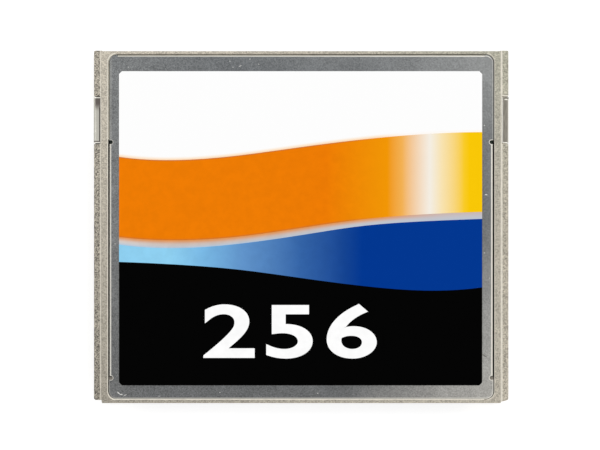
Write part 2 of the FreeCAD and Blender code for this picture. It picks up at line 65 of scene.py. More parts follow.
# Lines of the card that its materials follow, in millimetres
COVER_RADIUS = 0.75          # corners of the covers
COVER_GAP = 0.06             # between a cover and the frame
SIDE_BEND = 0.22             # width of the bent side edge of a cover, seen from above
BACK_BEND = 0.20             # and of its bent back edge
BACK_BEND_END = 18.96        # x where the bend along the back edge ends
FRONT_LIGHT_END = 18.9       # x where the light on the frame's front rim ends
BACK_GAP = (17.3, 17.7)      # y over which the painted shade in the gap thins out
RELIEF_YS = (-15.60, 8.75)   # centres of the bend reliefs
RELIEF_RADIUS = 0.20
RELIEF_DEPTH = 0.38          # from the cover's side
RAIL_WIDTH = 0.66            # coarse outer rail
RIDGE_OUTER = 0.61           # from the card's side to the near line of the ridge beside a rail
RIDGE_INNERS = (0.75, 0.80)  # and to its far line, on the left and on the right
EAR_START = 8.65             # y of the ears' front ends
EAR_END = 13.40              # y of their back ends
EAR_RETURN = 0.68            # how far an ear reaches over its rail
EAR_SPAN = 0.72              # from the card's side to just past an ear's tip
EAR_SHADE = (11.8, 12.8)     # y over which the shade on the left ear sets in
CREASE_END = (12.2, 12.6)    # y over which the painted shade in the crease beside the left ear fades

# Wear on the upper cover: x and y of a scratch's start and end, and of each speck, in millimetres
SCRATCHES = (
    (-18.99, -17.04, -18.73, -17.29), (-18.73, -17.29, -18.46, -17.31), (18.98, 3.33, 19.22, 3.31),
)
FAINT_SCRATCHES = ((-18.37, -17.50, -18.02, -17.30), (-6.45, 16.55, -6.15, 16.68))
DARK_SCRATCHES = ((18.69, -13.17, 19.21, -13.48),)
SPECKS = (
    (-17.89, 16.47), (-7.39, 17.09), (-7.08, 16.47), (-5.33, 17.30), (-4.40, 16.78), (-19.25, -1.77),
    (-14.71, -17.50), (-8.42, -17.11), (1.68, -17.21), (18.90, 10.46), (18.90, -2.70), (19.41, -5.30),
)

# Light on the upper cover: a direction, where it starts and ends along that, and its strength there
CORNER_LIGHTS = (
    ((1.0, -0.61, 0.0), 14.7, 34.9, 1.11),
    ((1.0, 1.63, 0.0), 19.6, 46.9, 0.60),
    ((-1.0, 0.72, 0.0), 3.2, 29.7, 0.40),
)

# Place and width of each lamp, in metres
LAMPS = {"key": ((0.16, 0.17, 0.34), 0.16), "fill": ((-0.24, -0.08, 0.26), 0.20)}
FLOOR_HALF = 2.0    # metres
FLOOR_DROP = 0.01   # millimetres under the card
STROKE = 0.019      # how much thicker the figures are drawn than in their font
SPACING = 1.12      # and how much wider they stand


def in_millimetres(box):
    """Lower and upper corner of a box, in millimetres."""
    low, high = box
    return low / MM, high / MM


card_high = in_millimetres(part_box("frame"))[1]
label_low, label_high = in_millimetres(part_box("label"))
cover_low, cover_high = in_millimetres(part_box("upper_cover"))
ink_top = in_millimetres(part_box("print_black_field"))[1].z
label_width = label_high.x - label_low.x
label_depth = label_high.y - label_low.y


def linear(level):
    """Linear light of a display level of 0 to 255, by the usual curve of displays."""
    return ((level / 255 + 0.055) / 1.055) ** 2.4 if level > 10 else level / 3294.6


def tone(*levels):
    """Linear colour from three display levels."""
    return tuple(linear(level) for level in levels)


def colour(name, description, *levels):
    """A colour property, given in display levels."""
    return FloatVectorProperty(
        name=name, description=description, subtype="COLOR", size=3, min=0, max=1, default=tone(*levels)
    )


def share(name, description, default):
    """A property from 0 to 1."""
    return FloatProperty(
        name=name, description=description, subtype="FACTOR", min=0, max=1, default=default
    )


def size(name, description, default):
    """A length property, given in millimetres."""
    return FloatProperty(
        name=name, description=description, unit="LENGTH", precision=5, min=0, default=default * MM
    )


def offset(name, description, default):
    """A place along one axis, given in millimetres, which may be negative."""
    return FloatProperty(name=name, description=description, unit="LENGTH", default=default * MM)


def amount(name, description, default, **kinds):
    """A property from 0 up."""
    return FloatProperty(name=name, description=description, min=0, default=default, **kinds)


class MouldingLook(bpy.types.PropertyGroup):
    """Colours and grain of the plastic frame."""

    rail: colour("Rail", "Coarse outer rails", 168, 161, 147)
    strip: colour("Strip", "Fine inner strips and end bars", 176, 169, 155)
    # Colour of the painted highlights on the frame's edges and of the painted light on some gap floors
    edge: colour("Worn edge", "Light edges of the strips and the openings", 240, 234, 220)
    # Colour of the painted shade on the floors of the narrow gaps and on the ledge under the front reliefs
    shade: colour("Shaded gap", "Floors of the narrow gaps, where dust and dirt gather", 84, 80, 76)
    # Colour of the painted shade in the gap round the covers and at the foot of their side bends
    shadows: colour("Dirt", "Dirt in the gap round the covers", 26, 23, 20)
    coarse: size("Coarse grain", "Size of the grain on the rails", 0.09)
    fine: size("Fine grain", "Size of the grain on the strips", 0.09)
    contrast: amount("Grain contrast", "How much the grain changes the colour of the rails", 1.75, max=2)


class SteelLook(bpy.types.PropertyGroup):
    """Colours and wear of the stamped covers."""

    dark: colour("Shaded steel", "Steel in the darker corner", 97, 99, 101)
    light: colour("Lit steel", "Steel in the lighter corner", 168, 167, 163)
    # Colour of the painted highlights on the covers' bends and cut edges and on the ears
    burnished: colour("Burnished steel", "Bends and cut edges of the covers", 212, 209, 200)
    shaded_edge: colour("Shaded edge", "Cut edge behind the left relief", 84, 82, 62)
    # The two ears are the same steel: the left one is painted lit and the right one painted in shade
    ear_left: colour("Left ear", "Smooth ear on the left rail", 176, 174, 165)
    ear_right: colour("Right ear", "Smooth ear on the right rail", 122, 118, 109)
    ear_shade: colour("Shaded ear", "Upper part of the left ear", 96, 90, 86)
    scratch: colour("Scratch", "Bare metal in a scratch", 246, 245, 240)
    stain: colour("Stain", "Dark scratch on the right", 92, 90, 86)
    mottle: share("Mottle", "How much the satin face varies", 0.54)
    wear: share("Wear", "How strongly scratches and specks show", 0.85)
    scratch_width: size("Scratch width", "Width of a scratch", 0.05)
    stain_width: size("Stain width", "Width of the dark scratch", 0.05)
    speck_width: size("Speck width", "Width of a speck", 0.075)


class PrintLook(bpy.types.PropertyGroup):
    """Colours of the label and its print, and the plain number on it."""

    paper: colour("Label", "Unprinted label", 254, 254, 254)
    bleed: colour("Bleed", "Faint warm edge above the upper band", 255, 214, 160)
    orange: colour("Orange", "Left part of the upper band", 238, 124, 3)
    border: colour("Border", "Darker line along the upper band", 196, 112, 46)
    yellow: colour("Yellow", "Right end of the upper band", 250, 200, 5)
    silver: colour("Silver", "Line between the two bands", 204, 194, 190)
    warm: colour("Warm edge", "Edge of the line under the upper band", 226, 146, 66)
    cool: colour("Cool edge", "Edge of the line over the lower band", 172, 200, 226)
    sky: colour("Light blue", "Left end of the lower band", 143, 208, 241)
    navy: colour("Deep blue", "Right part of the lower band", 1, 55, 145)
    black: colour("Black", "Lower field", 2, 2, 2)
    number: StringProperty(name="Number", description="Plain number in the lower field", default="256")
    number_width: size("Number width", "Width of the whole number", 17.9)
    number_height: size("Number height", "Height of the figures", 5.65)
    number_across: offset("Number across", "Middle of the number from the middle of the card", -1.15)
    number_along: offset("Number along", "Foot of the number from the middle of the card", -13.6)


class InsideLook(bpy.types.PropertyGroup):
    """Colours of the connector and of the parts on the board."""

    connector: colour("Connector", "Glass-filled connector plastic", 42, 42, 44)
    gold: colour("Gold", "Plated contacts", 214, 176, 92)
    board: colour("Board", "Lacquered board", 34, 96, 58)
    resin: colour("Chip resin", "Chip packages", 44, 44, 47)
    tin: colour("Tin", "Leads, end caps and the crystal's can", 190, 190, 186)
    tan: colour("Tan ceramic", "Capacitors and the crystal's base", 166, 140, 112)
    dark: colour("Dark ceramic", "Resistors", 52, 52, 56)
    film: colour("Film", "Amber insulating film", 196, 142, 62)


class StageLook(bpy.types.PropertyGroup):
    """Floor, lamps and camera."""

    floor: colour("Floor", "Plain pale floor", 222, 222, 222)
    glow: amount("Floor glow", "What the camera sees of the floor beyond its colour", 0.54)
    room: amount("Room light", "Strength of the even light", 0.66)
    key: amount("Key lamp", "Power of the main lamp", 0.43, unit="POWER")
    fill: amount("Fill lamp", "Power of the second lamp", 0.25, unit="POWER")
    lens: FloatProperty(
        name="Lens", description="Focal length in millimetres", min=20, max=400, default=200
    )
    view_width: size("View width", "Width of the picture on the label", 61.95)
    view_across: offset("View across", "Middle of the picture", -0.124)
    view_along: offset("View along", "Middle of the picture", 0.19)


LOOKS = {
    "moulding": MouldingLook,
    "steel": SteelLook,
    "print": PrintLook,
    "inside": InsideLook,
    "stage": StageLook,
}


def look(name):
    """The scene's settings for one part of the look."""
    return getattr(bpy.context.scene, "card_" + name)


class Wiring:
    """Adds nodes to one tree and joins them. A value may be a number, a vector or an output."""

    def __init__(self, tree):
        self.nodes = tree.nodes
        self.links = tree.links

    def add(self, kind, **settings):
        """A new node of that kind."""
        node = self.nodes.new("ShaderNode" + kind)
        for name, value in settings.items():
            setattr(node, name, value)
        return node

    def feed(self, socket, value):
        """Gives a socket a value."""
        if isinstance(value, bpy.types.NodeSocket):
            self.links.new(value, socket)
        elif socket.type == "RGBA" and len(value) == 3:
            socket.default_value = (*value, 1)
        else:
            socket.default_value = value

    def math(self, operation, *values, clamp=False):
        """The result of one operation on numbers."""
        node = self.add("Math", operation=operation, use_clamp=clamp)
        for socket, value in zip(node.inputs, values):
            self.feed(socket, value)
        return node.outputs[0]

    def chain(self, operation, values):
        """One number from several, taken one after the other."""
        whole = values[0]
        for value in values[1:]:
            whole = self.math(operation, whole, value)
        return whole

    def total(self, *values):
        """The values added up."""
        return self.chain("ADD", values)

    def product(self, *values):
        """The values multiplied."""
        return self.chain("MULTIPLY", values)

    def largest(self, *values):
        """The largest of the values."""
        return self.chain("MAXIMUM", values)

    def less(self, value, taken):
        """A value with another taken away."""
        return self.math("SUBTRACT", value, taken)

    def below(self, value, limit):
        """1 where a value lies below a limit, else 0."""
        return self.math("LESS_THAN", value, limit)

    def above(self, value, limit):
        """1 where a value lies above a limit, else 0."""
        return self.math("GREATER_THAN", value, limit)

    def vector(self, operation, *values):
        """The result of one operation on vectors."""
        node = self.add("VectorMath", operation=operation)
        for socket, value in zip(node.inputs, values):
            self.feed(socket, value)
        return node.outputs["Value" if operation in ("LENGTH", "DOT_PRODUCT") else "Vector"]

    def scaled(self, base, factor):
        """A colour made lighter or darker, or a vector made longer, by a factor."""
        node = self.add("VectorMath", operation="SCALE")
        self.feed(node.inputs[0], base)
        self.feed(node.inputs["Scale"], factor)
        return node.outputs[0]

    def ramp(self, value, low, high, start=0.0, end=1.0, kind="SMOOTHSTEP"):
        """Goes from start to end as value goes from low to high."""
        node = self.add("MapRange", interpolation_type=kind)
        for socket, given in zip(node.inputs, (value, low, high, start, end)):
            self.feed(socket, given)
        return node.outputs[0]

    def slope(self, value, low, high, start=0.0, end=1.0):
        """The same along a straight line."""
        return self.ramp(value, low, high, start, end, kind="LINEAR")

    def blend(self, factor, first, second):
        """A colour between two others."""
        node = self.add("Mix", data_type="RGBA")
        for index, value in ((0, factor), (6, first), (7, second)):
            self.feed(node.inputs[index], value)
        return node.outputs[2]

    def noise(self, place, grain, detail=2.0, roughness=0.5):
        """Noise with grains of that size in millimetres."""
        node = self.add("TexNoise")
        self.feed(node.inputs["Vector"], place)
        self.feed(node.inputs["Scale"], self.math("DIVIDE", 1.0, grain))
        self.feed(node.inputs["Detail"], detail)
        self.feed(node.inputs["Roughness"], roughness)
        return node.outputs[0]

    def stops(self, value, *pairs):
        """Colour that runs through stops, which are pairs of a share and a colour."""
        node = self.add("ValToRGB")
        found = node.color_ramp.elements
        while len(found) < len(pairs):
            found.new(0.5)
        for stop, (at, given) in zip(found, pairs):
            stop.position = at
            stop.color = (*given, 1)
        self.feed(node.inputs[0], value)
        return node.outputs[0]

    def group(self, tree, **values):
        """The outputs of a shared node group."""
        node = self.add("Group", node_tree=tree)
        for name, value in values.items():
            self.feed(node.inputs[name], value)
        return node.outputs


def effect(name, inputs, outputs, build):
    """A shared node group, built once. Inputs are pairs of a name and a default."""
    if name in bpy.data.node_groups:
        return bpy.data.node_groups[name]
    tree = bpy.data.node_groups.new(name, "ShaderNodeTree")
    for label, default in inputs:
        kind = "NodeSocketVector" if isinstance(default, tuple) else "NodeSocketFloat"
        tree.interface.new_socket(label, in_out="INPUT", socket_type=kind).default_value = default
    for label in outputs:
        tree.interface.new_socket(label, in_out="OUTPUT", socket_type="NodeSocketFloat")
    wires = Wiring(tree)
    given = tree.nodes.new("NodeGroupInput")
    taken = tree.nodes.new("NodeGroupOutput")
    for label, value in build(wires, given.outputs).items():
        wires.feed(taken.inputs[label], value)
    return tree


def moulded_grain():
    """Pebbled grain of a spark-eroded mould: each pebble has its own shade, and they rise a little."""

    def build(w, given):
        pebbles = w.add("TexVoronoi", feature="SMOOTH_F1")
        w.feed(pebbles.inputs["Smoothness"], 0.3)
        w.feed(pebbles.inputs["Vector"], given["Place"])
        w.feed(pebbles.inputs["Scale"], w.math("DIVIDE", 1.0, given["Grain"]))
        shade = w.vector("DOT_PRODUCT", pebbles.outputs["Color"], (1, 0, 0))
        swing = w.product(w.less(shade, 0.5), given["Contrast"])
        return {"Shade": w.total(1.0, swing), "Height": w.less(1.0, pebbles.outputs["Distance"])}

    inputs = [("Place", ORIGIN), ("Grain", 0.2), ("Contrast", 0.3)]
    return effect("Moulded Grain", inputs, ["Shade", "Height"], build)


def edge_band():
    """Mask that is 1 where a value lies between two limits, with soft ends."""

    def build(w, given):
        value, low, high, soft = given["Value"], given["Low"], given["High"], given["Softness"]
        rise = w.ramp(value, w.less(low, soft), w.total(low, soft))
        fall = w.ramp(value, w.less(high, soft), w.total(high, soft), 1.0, 0.0)
        return {"Mask": w.product(rise, fall)}

    inputs = [("Value", 0.0), ("Low", 0.0), ("High", 1.0), ("Softness", 0.03)]
    return effect("Edge Band", inputs, ["Mask"], build)


def rounded_outline():
    """Distance inside the outline of a rounded rectangle, less than 0 outside it."""

    def build(w, given):
        flat = w.vector("MULTIPLY", w.vector("SUBTRACT", given["Place"], given["Middle"]), (1, 1, 0))
        core = w.vector("SUBTRACT", given["Half"], place_from(w, given["Radius"], given["Radius"]))
        past = w.vector("SUBTRACT", w.vector("ABSOLUTE", flat), core)
        outer = w.vector("LENGTH", w.vector("MAXIMUM", past, (0, 0, 0)))
        x, y = parts_of(w, past)[:2]
        inner = w.math("MINIMUM", w.largest(x, y), 0.0)
        return {"Distance": w.less(given["Radius"], w.total(outer, inner))}

    inputs = [("Place", ORIGIN), ("Middle", ORIGIN), ("Half", (1.0, 1.0, 0.0)), ("Radius", 0.1)]
    return effect("Rounded Outline", inputs, ["Distance"], build)


def satin_steel():
    """Fine mottled satin of rolled and etched steel."""

    def build(w, given):
        fine = w.noise(given["Place"], grain=0.12, detail=2.0, roughness=0.6)
        cloudy = w.noise(given["Place"], grain=3.4, detail=3.0, roughness=0.55)
        mixed = w.total(w.product(fine, 0.8), w.product(cloudy, 0.2))
        swing = w.product(w.less(mixed, 0.5), w.product(given["Contrast"], 4.0))
        return {"Shade": w.total(1.0, swing), "Height": fine, "Cloud": cloudy}

    inputs = [("Place", ORIGIN), ("Contrast", 0.2)]
    return effect("Satin Steel", inputs, ["Shade", "Height", "Cloud"], build)


def scratch():
    """Mask of one straight scratch that thins out at its ends."""

    def build(w, given):
        run = w.vector("SUBTRACT", given["End"], given["Start"])
        away = w.vector("SUBTRACT", given["Place"], given["Start"])
        length = w.vector("DOT_PRODUCT", run, run)
        along = w.math("DIVIDE", w.vector("DOT_PRODUCT", away, run), length, clamp=True)
        off = w.vector("LENGTH", w.vector("SUBTRACT", away, w.scaled(run, along)))
        thick = w.product(along, w.less(1.0, along), 4.0)
        reach = w.product(given["Width"], w.total(0.35, w.product(thick, 0.65)))
        return {"Mask": w.ramp(off, w.product(reach, 0.5), reach, 1.0, 0.0)}

    inputs = [("Place", ORIGIN), ("Start", ORIGIN), ("End", (1.0, 0.0, 0.0)), ("Width", 0.06)]
    return effect("Scratch", inputs, ["Mask"], build)


def finish(name, rough, metal=0.0, specular=0.5):
    """A new material: its wiring, its surface shader and places in millimetres."""
    material = bpy.data.materials.new(name)
    material.use_nodes = True
    w = Wiring(material.node_tree)
    surface = w.nodes["Principled BSDF"].inputs
    surface["Roughness"].default_value = rough
    surface["Metallic"].default_value = metal
    surface["Specular IOR Level"].default_value = specular
    scale = w.add("Mapping")
    scale.inputs["Scale"].default_value = (1 / MM, 1 / MM, 1 / MM)
    w.feed(scale.inputs["Vector"], w.add("TexCoord").outputs["Object"])
    return material, w, surface, scale.outputs[0]


def parts_of(w, place):
    """The three coordinates of a place."""
    split = w.add("SeparateXYZ")
    w.feed(split.inputs[0], place)
    return split.outputs[0], split.outputs[1], split.outputs[2]


def place_from(w, x, y):
    """A place from two coordinates."""
    join = w.add("CombineXYZ")
    w.feed(join.inputs[0], x)
    w.feed(join.inputs[1], y)
    return join.outputs[0]


def bump(w, surface, height, depth):
    """Gives the surface relief of that depth in millimetres."""
    node = w.add("Bump")
    node.inputs["Strength"].default_value = 1.0
    node.inputs["Distance"].default_value = depth * MM
    w.feed(node.inputs["Height"], height)
    w.feed(surface["Normal"], node.outputs[0])


def paint(material, *names):
    """Gives CAD nodes a material."""
    for name in names:
        nodes[name].data.materials.clear()
        nodes[name].data.materials.append(material)


def inside_of(w, place, low, high, radius):
    """Distance inside a rounded rectangle that is given by its corners in plan."""
    middle, half = (low + high) / 2, (high - low) / 2
    plan = {"Middle": (middle.x, middle.y, 0), "Half": (half.x, half.y, 0)}
    return w.group(rounded_outline(), Place=place, Radius=radius, **plan)["Distance"]


def band(w, value, low, high, soft=0.03):
    """Mask of the values between two limits."""
    return w.group(edge_band(), Value=value, Low=low, High=high, Softness=soft)["Mask"]


def moulded_plastic():
    """Grey moulding: coarse rails, finer strips, smoother edges with painted highlights, and painted shade
    and painted light in its gaps.
    """
    given = look("moulding")
    rough, worn_rough = 0.62, 0.42
    material, w, surface, place = finish("moulded_plastic", rough, specular=0.35)
    x, y, z = parts_of(w, place)
    side = w.math("ABSOLUTE", x)
    gap = Vector((COVER_GAP, COVER_GAP, 0))
    deep = inside_of(w, place, cover_low - gap, cover_high + gap, COVER_RADIUS + COVER_GAP)
    out = w.product(deep, -1.0)
    front = w.product(
        w.ramp(y, cover_low.y + 0.1, cover_low.y + 0.4, 1.0, 0.0), w.below(x, FRONT_LIGHT_END)
    )
    body, relief = grained(w, place, x, y, side, given)
    broken = w.ramp(w.noise(place, grain=0.22, detail=2.0, roughness=0.6), 0.35, 0.65)
    line = w.product(band(w, out, 0.09, 0.17, 0.02), front, broken, w.ramp(x, -4.0, 12.0, 1.0, 0.5))
    body = w.scaled(body, w.ramp(line, 0.0, 1.0, 1.0, 0.62))
    on_top = w.above(z, card_high.z - 0.25)
    # worn masks the painted highlights on the frame's edges, which are also smoother there
    worn = w.product(edge_highlights(w, place, x, y, side, out, front), on_top)
    body = w.blend(worn, body, given.edge)
    sunk = w.below(z, cover_high.z - 0.05)
    # Painted shade on the ledge under the front reliefs
    body = w.blend(w.product(relief_floors(w, side, y), sunk), body, given.shade)
    in_gap = w.product(band(w, deep, -COVER_GAP, COVER_GAP, 0.01), sunk)
    # Painted light on the gap floor behind the back relief on the left; painted shade in the rest of the
    # gap, thinner towards the back
    lit_gap = w.product(w.below(x, 0.0), behind_relief(w, y))
    body = w.blend(w.product(in_gap, lit_gap), body, given.edge)
    gap_shadow = w.product(in_gap, w.less(1.0, lit_gap), w.ramp(y, *BACK_GAP, 0.95, 0.3))
    body = w.blend(gap_shadow, body, given.shadows)
    w.feed(surface["Base Color"], ear_gaps(w, x, y, z, side, body, given))
    w.feed(surface["Roughness"], w.ramp(worn, 0.0, 1.0, rough, worn_rough))
    bump(w, surface, relief, 0.025)
    return material


def grained(w, place, x, y, side, given):
    """Colour and relief of the frame without wear. Painted light makes its rails lighter to the right, and
    the frame lighter towards the back on the left and a little darker towards the back on the right; it is
    greener at the back.
    """
    half = card_high.x
    strip_contrast = given.contrast * 0.42
    on_rail = w.ramp(side, half - RAIL_WIDTH - 0.02, half - RAIL_WIDTH + 0.02)
    contrast = w.product(w.ramp(x, -half, half, 1.0, 0.62), given.contrast)
    coarse = w.group(moulded_grain(), Place=place, Grain=given.coarse / MM, Contrast=contrast)
    fine = w.group(moulded_grain(), Place=place, Grain=given.fine / MM, Contrast=strip_contrast)
    rail = w.scaled(given.rail, coarse["Shade"])
    # Painted light: the rails lighter to the right
    rail = w.scaled(rail, w.slope(x, -half, half, 0.82, 1.15))
    body = w.blend(on_rail, w.scaled(given.strip, fine["Shade"]), rail)
    # Painted light and shade over the frame, weaker on the rails
    painted_shading = w.total(w.product(y, 0.0053), w.product(x, y, -0.00039))
    painted_shading = w.product(painted_shading, w.ramp(on_rail, 0.0, 1.0, 1.0, 0.7))
    body = w.scaled(body, w.total(1.0, painted_shading))
    back_right = w.product(w.slope(x, 0.0, half), w.slope(y, 0.0, card_high.y))
    body = w.vector("MULTIPLY", body, w.blend(back_right, (1.0, 1.0, 1.0), (1.03, 1.09, 1.06)))
    return body, w.total(w.product(coarse["Height"], on_rail), w.product(fine["Height"], 0.4))


def edge_highlights(w, place, x, y, side, out, front):
    """Mask of the frame's edges with painted highlights: ridges beside the rails, rims round the cover,
    ear windows.
    """
    half = card_high.x
    left_inner, right_inner = RIDGE_INNERS
    inner = w.ramp(x, -half, half, half - left_inner, half - right_inner)
    ridge = w.product(band(w, side, inner, half - RIDGE_OUTER), w.ramp(x, -half, half, 0.62, 1.0))
    by_ear = w.product(
        band(w, side, half - left_inner - 0.01, half - RIDGE_OUTER),
        band(w, y, EAR_START + 0.05, EAR_END),
        w.below(x, 0.0),
    )
    over_ear = w.product(band(w, y, EAR_END + 0.07, EAR_END + 0.20), w.above(x, half - 0.60))
    lit_left = w.ramp(x, cover_low.x + 0.5, cover_low.x + 0.8, 1.0, 0.0)
    lit_right = w.ramp(x, cover_high.x - 0.8, cover_high.x - 0.5, 0.0, 0.5)
    rim_side = w.product(band(w, out, 0.0, 0.12), w.largest(lit_left, lit_right))
    rim_front = w.product(band(w, out, -0.04, 0.07), front)
    patchy = w.ramp(w.noise(place, grain=0.9, detail=3.0, roughness=0.6), 0.25, 0.6, 0.72, 1.0)
    return w.product(w.largest(ridge, by_ear, rim_side, rim_front, over_ear), patchy)


def from_relief(w, side, y, relief_y):
    """Distance from the centre of a bend relief, on either side of the card."""
    centre = (cover_high.x - RELIEF_DEPTH + RELIEF_RADIUS, relief_y, 0)
    return w.vector("LENGTH", w.vector("SUBTRACT", place_from(w, side, y), centre))


def relief_floors(w, side, y):
    """Mask of the painted shade on the frame's ledge under the front bend reliefs, darkest towards the
    back of each.
    """
    off = from_relief(w, side, y, RELIEF_YS[0])
    back = w.ramp(y, RELIEF_YS[0] + 0.02, RELIEF_YS[0] + 0.12, 0.5, 0.95)
    return w.product(w.ramp(off, RELIEF_RADIUS, RELIEF_RADIUS + 0.03, 1.0, 0.0), back)


def bend_span(w, y):
    """Mask of the stretch of a cover's side that is bent, between its reliefs."""
    return band(w, y, RELIEF_YS[0] + RELIEF_RADIUS, RELIEF_YS[1] - RELIEF_RADIUS, 0.05)


def behind_relief(w, y):
    """Mask of the stretch of a cover's side behind its back relief."""
    start = RELIEF_YS[1] + RELIEF_RADIUS
    return w.ramp(y, start, start + 0.1)


def ear_gaps(w, x, y, z, side, body, given):
    """Floors of the narrow gaps at the ends of the ears: in shade at the left, light at the right."""
    on_floor = w.product(
        w.above(side, card_high.x - 0.62),
        w.above(z, card_high.z - 0.4),
        w.below(z, card_high.z - 0.2),
    )
    shaded = w.below(w.less(x, y), -20.0)
    floor = w.blend(shaded, given.edge, given.shade)
    return w.blend(on_floor, body, floor)


def cover_steel(name, glow, worn):
    """Satin steel with painted highlights on its bends. glow is the painted light at its corners, and worn
    adds marks.
    """
    given = look("steel")
    material, w, surface, place = finish(name, 0.36, metal=1.0)
    x, y, z = parts_of(w, place)
    side = w.math("ABSOLUTE", x)
    mottle = w.product(w.slope(x, cover_low.x, cover_high.x, 1.2, 0.72), given.mottle)
    satin = w.group(satin_steel(), Place=place, Contrast=mottle)
    light = w.product(corner_light(w, place, y), glow)
    body = w.scaled(w.blend(light, given.dark, given.light), satin["Shade"])
    back = w.slope(y, cover_low.y, cover_high.y)
    body = w.vector("MULTIPLY", body, w.blend(back, (1.0, 0.985, 0.965), (0.98, 1.0, 1.015)))
    bends = bent_edges(w, place, x, y, side)
    body = edge_lines(w, x, y, side, bends, body, given)
    if worn:
        body = marked(w, place, body, given)
    w.feed(surface["Base Color"], with_ears(w, x, y, side, body, given))
    w.feed(surface["Metallic"], w.ramp(bends, 0.0, 1.0, 1.0, 0.25))
    w.feed(surface["Roughness"], w.ramp(satin["Cloud"], 0.2, 0.8, 0.30, 0.42))
    bump(w, surface, satin["Height"], 0.006)
    return material


def corner_light(w, place, y):
    """How strongly the satin face lights up towards its corners, from 0 to 1."""
    light = w.less(w.product(y, -0.006), 0.077)
    for direction, start, end, strength in CORNER_LIGHTS:
        along = w.vector("DOT_PRODUCT", place, direction)
        light = w.total(light, w.slope(along, start, end, 0.0, strength))
    return w.math("ADD", light, 0.0, clamp=True)


def bent_edges(w, place, x, y, side):
    """Mask of a cover's bends and cut edges, which get a painted highlight."""
    side_bend = w.product(
        band(w, side, cover_high.x - SIDE_BEND, cover_high.x, 0.05), bend_span(w, y)
    )
    back_bend = w.product(
        band(w, y, cover_high.y - BACK_BEND, cover_high.y), w.below(side, BACK_BEND_END)
    )
    inside = inside_of(w, place, cover_low, cover_high, COVER_RADIUS)
    sunk = w.ramp(y, cover_high.y - 0.8, cover_high.y - 0.3, 0.0, 0.09)
    cut = band(w, w.less(inside, sunk), 0.0, 0.085, 0.02)
    from_upper_left = w.ramp(w.less(y, x), 30.0, 34.0, 1.0, 0.0)
    from_left = w.ramp(x, cover_low.x + 0.3, cover_low.x + 0.8, 0.3, 0.85)
    right = w.ramp(x, cover_high.x - 0.35, cover_high.x - 0.25)
    dull = w.product(right, w.ramp(y, 8.0, 9.0, 0.30, 0.70))
    cut = w.product(cut, from_upper_left, from_left, w.less(1.0, dull))
    return w.largest(side_bend, back_bend, cut, relief_edges(w, side, x, y))


def relief_edges(w, side, x, y):
    """Mask of the painted highlight on the cut edge round each bend relief."""
    edges = [
        band(w, from_relief(w, side, y, relief_y), RELIEF_RADIUS - 0.01, RELIEF_RADIUS + 0.08, 0.02)
        for relief_y in RELIEF_YS
    ]
    upper_left = w.product(w.below(x, 0.0), w.above(y, 0.0), 0.3)
    return w.product(w.largest(*edges), w.less(0.8, upper_left))


def edge_lines(w, x, y, side, bends, body, given):
    """A cover's colour with painted highlights on its bends, painted shade at their foot, and painted
    shade and a painted highlight on its edge at the back left.
    """
    # Painted highlight on the bends and cut edges, brighter to the right
    burnished = w.scaled(given.burnished, w.slope(x, cover_low.x, cover_high.x, 0.84, 1.14))
    body = w.blend(bends, body, burnished)
    # Painted shade at the foot of the side bends
    foot = w.product(w.ramp(side, cover_high.x - 0.07, cover_high.x - 0.04), bend_span(w, y), 0.95)
    body = w.blend(foot, body, look("moulding").shadows)
    behind = behind_relief(w, y)
    outermost = w.ramp(x, cover_low.x + 0.05, cover_low.x + 0.08, 1.0, 0.0)
    body = w.blend(w.product(outermost, behind, 0.7), body, given.shaded_edge)
    lit_line = w.product(band(w, x, cover_low.x + 0.10, cover_low.x + 0.26, 0.04), behind, 0.16)
    return w.blend(lit_line, body, burnished)


def marked(w, place, body, given):
    """A cover's colour with its scratches and specks."""
    stain = marks(w, place, given.stain_width, DARK_SCRATCHES)
    body = w.blend(stain, body, given.stain)
    speck_spans = [(x, y, x + 0.06, y + 0.03) for x, y in SPECKS]
    specks = w.product(marks(w, place, given.speck_width, speck_spans), 0.6)
    faint = w.product(marks(w, place, given.scratch_width, FAINT_SCRATCHES), 0.5)
    bright = marks(w, place, given.scratch_width, SCRATCHES)
    shown = w.product(w.largest(specks, faint, bright), given.wear)
    return w.blend(shown, body, given.scratch)


def marks(w, place, width, spans):
    """Mask of several scratches on the upper cover. A span is x and y of its start and of its end."""
    total = 0.0
    for x1, y1, x2, y2 in spans:
        ends = {"Start": (x1, y1, cover_high.z), "End": (x2, y2, cover_high.z)}
        total = w.largest(total, w.group(scratch(), Place=place, Width=width / MM, **ends)["Mask"])
    return total


def with_ears(w, x, y, side, body, given):
    """A cover's colour with its smoother ears, which have painted highlights at their ends and streaked
    outer walls in the painted lit steel colour.
    """
    low, high = in_millimetres(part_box("lower_cover"))
    half = card_high.x
    stretched = w.vector("MULTIPLY", place_from(w, x, y), (1.0, 0.12, 0.0))
    streaks = w.ramp(w.noise(stretched, grain=0.12), 0.3, 0.7, 0.82, 1.22)
    on_left, on_right = w.below(x, EAR_SPAN - half), w.above(x, half - EAR_SPAN)
    body = w.blend(on_left, body, left_ear(w, x, y, low, high, given))
    body = w.blend(on_right, body, right_ear(w, x, y, high, streaks, given))
    foot = w.product(w.above(side, half - EAR_SPAN), w.below(y, EAR_START + 0.11))
    left_end = w.product(on_left, w.above(y, EAR_END - 0.11))
    right_end = w.product(w.above(x, half - 0.40), band(w, y, EAR_END - 0.30, EAR_END - 0.19, 0.02))
    body = w.blend(w.largest(foot, left_end, right_end), body, given.burnished)
    wall = w.above(side, high.x - 0.01)
    return w.blend(wall, body, w.scaled(given.light, streaks))


